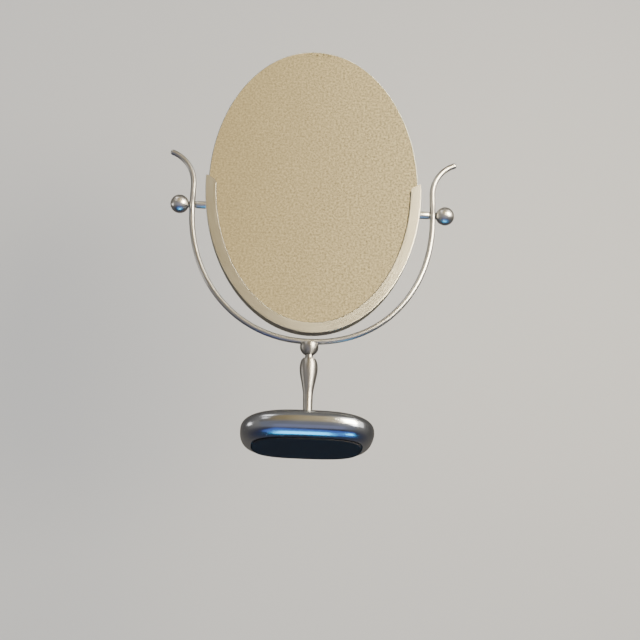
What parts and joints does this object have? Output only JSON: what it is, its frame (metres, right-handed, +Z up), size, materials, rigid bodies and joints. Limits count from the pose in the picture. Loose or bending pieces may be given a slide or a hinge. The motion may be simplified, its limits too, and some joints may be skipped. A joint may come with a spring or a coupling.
{
  "type": "countertop mirror",
  "caption": "Oval tilting mirror in a half-moon metal channel, hung in a U-shaped rod yoke with ball knobs on a turned stem and weighted oval base.",
  "frame": {"origin": "centre of the base pad's underside, where the mirror stands on the counter", "axes": "+Z up along the stem, +X to the right along the tilt pivots, the glass faces -Y at rest"},
  "size_m": [0.3174, 0.106, 0.4653],
  "materials": {
    "polished_shell": "polished satin",
    "satin_steel": "satin",
    "satin_aluminium": "brushed",
    "mirror_glass": "silvered, ground edge",
    "back_paint": "matte",
    "liner_rubber": "matte",
    "fibre_washer": "matte",
    "foam_pad": "matte foam",
    "cast_iron": "as cast",
    "zinc_steel": "zinc plated"
  },
  "bodies": {
    "base": {"base_shell": "polished_shell", "ballast_weight": "cast_iron", "base_plate": "zinc_steel", "base_plate_screw_1": "zinc_steel", "base_plate_screw_2": "zinc_steel", "base_plate_screw_3": "zinc_steel", "base_plate_screw_4": "zinc_steel", "base_pad": "foam_pad", "spring_washer": "zinc_steel", "stem": "satin_steel"},
    "yoke": {"yoke_rod": "satin_steel", "yoke_ball": "satin_steel", "neck_collar": "satin_steel", "tie_rod": "zinc_steel", "tie_rod_nut": "zinc_steel"},
    "mirror": {"mirror_frame": "satin_aluminium", "frame_liner": "liner_rubber", "mirror_glass": "mirror_glass", "backing_panel": "back_paint", "pivot_post_left": "satin_aluminium", "pivot_post_right": "satin_aluminium", "pivot_stud_left": "zinc_steel", "pivot_stud_right": "zinc_steel", "inner_washer_left": "fibre_washer", "inner_washer_right": "fibre_washer"},
    "washer_left": {"outer_washer_left": "fibre_washer"},
    "washer_right": {"outer_washer_right": "fibre_washer"},
    "knob_left": {"ball_knob_left": "satin_steel"},
    "knob_right": {"ball_knob_right": "satin_steel"}
  },
  "joints": [
    {"name": "yoke_swivel", "type": "hinge", "parent": "base", "child": "yoke", "pos_m": [0, 0, 0.0967], "axis": [0, 0, 1], "range_deg": [-90, 90]},
    {"name": "mirror_tilt", "type": "hinge", "parent": "yoke", "child": "mirror", "pos_m": [0, 0, 0.2667], "axis": [1, 0, 0], "range_deg": [-170, 170]},
    {"name": "washer_left_slide", "type": "slide", "parent": "mirror", "child": "washer_left", "axis": [-1, 0, 0], "range_m": [0, 0.0007]},
    {"name": "knob_left_turn", "type": "hinge", "parent": "washer_left", "child": "knob_left", "pos_m": [-0.144, 0, 0.2667], "axis": [-1, 0, 0], "range_deg": [0, 360]},
    {"name": "washer_right_slide", "type": "slide", "parent": "mirror", "child": "washer_right", "axis": [1, 0, 0], "range_m": [0, 0.0007]},
    {"name": "knob_right_turn", "type": "hinge", "parent": "washer_right", "child": "knob_right", "pos_m": [0.144, 0, 0.2667], "axis": [1, 0, 0], "range_deg": [0, 360]}
  ],
  "couplings": [
    {"joint": "knob_left_turn", "follows": "washer_left_slide", "rad_per_m": 8976},
    {"joint": "knob_right_turn", "follows": "washer_right_slide", "rad_per_m": 8976}
  ]
}
